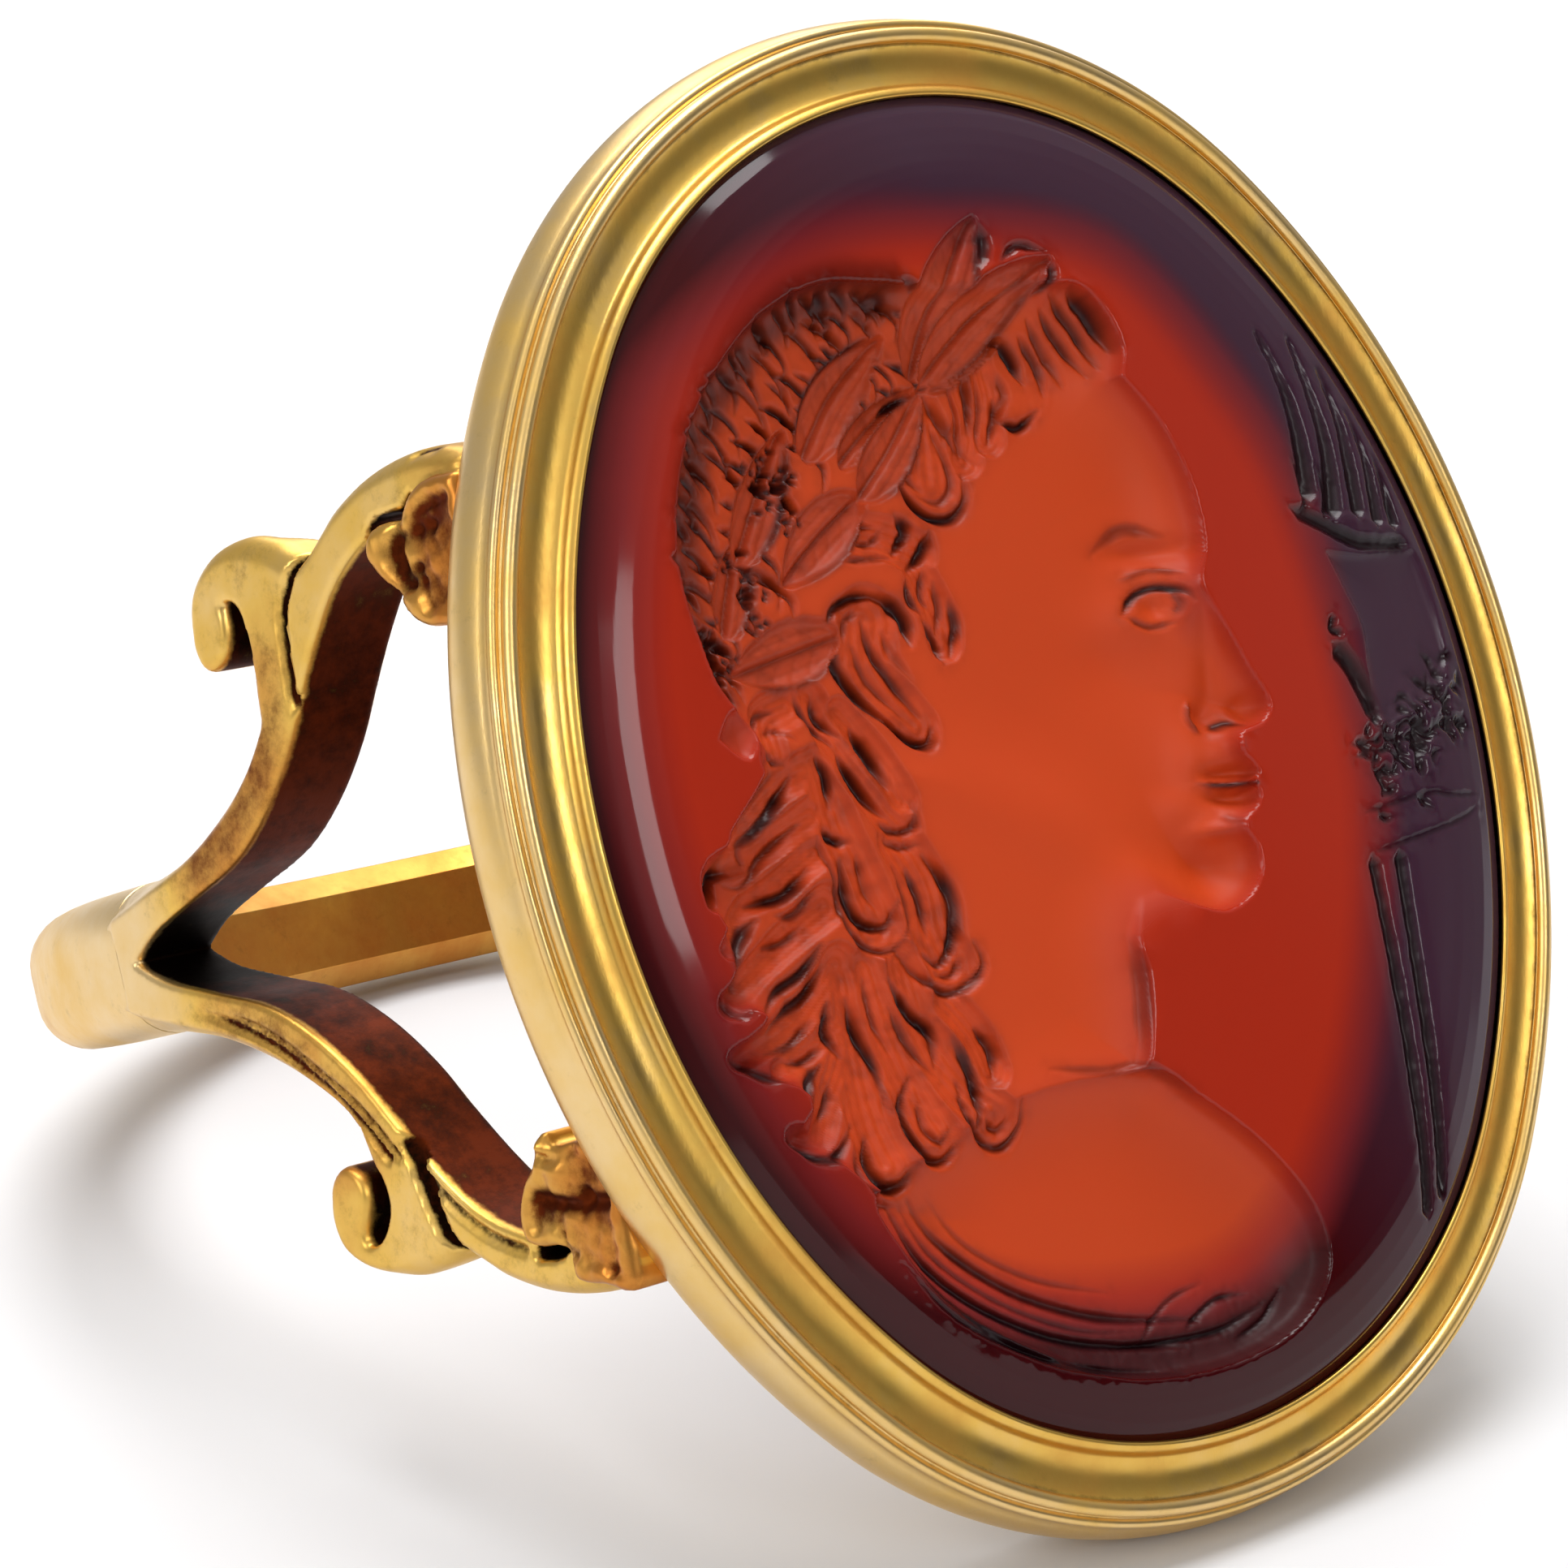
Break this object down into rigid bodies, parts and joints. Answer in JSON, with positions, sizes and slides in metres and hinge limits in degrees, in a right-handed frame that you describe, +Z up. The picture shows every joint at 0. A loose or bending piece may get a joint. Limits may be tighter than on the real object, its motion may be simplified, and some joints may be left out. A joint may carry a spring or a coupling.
{
  "type": "gold finger ring with an oval carnelian intaglio",
  "caption": "Gold finger ring with a moulded oval bezel round a carved carnelian intaglio, on a plain shank that forks into scrolled shoulders with small leaves.",
  "frame": {"origin": "middle of the footprint on the surface that the ring lies on", "axes": "+Z up from the surface, +Y from the shank towards the bezel, +X across the finger; the stone faces +Y and up"},
  "size_m": [0.0208, 0.025, 0.0199],
  "materials": {
    "gold": "worn polish",
    "carnelian": "polished"
  },
  "bodies": {
    "root": {"split_shank": "gold", "bezel": "gold", "intaglio_stone": "carnelian"}
  },
  "joints": []
}
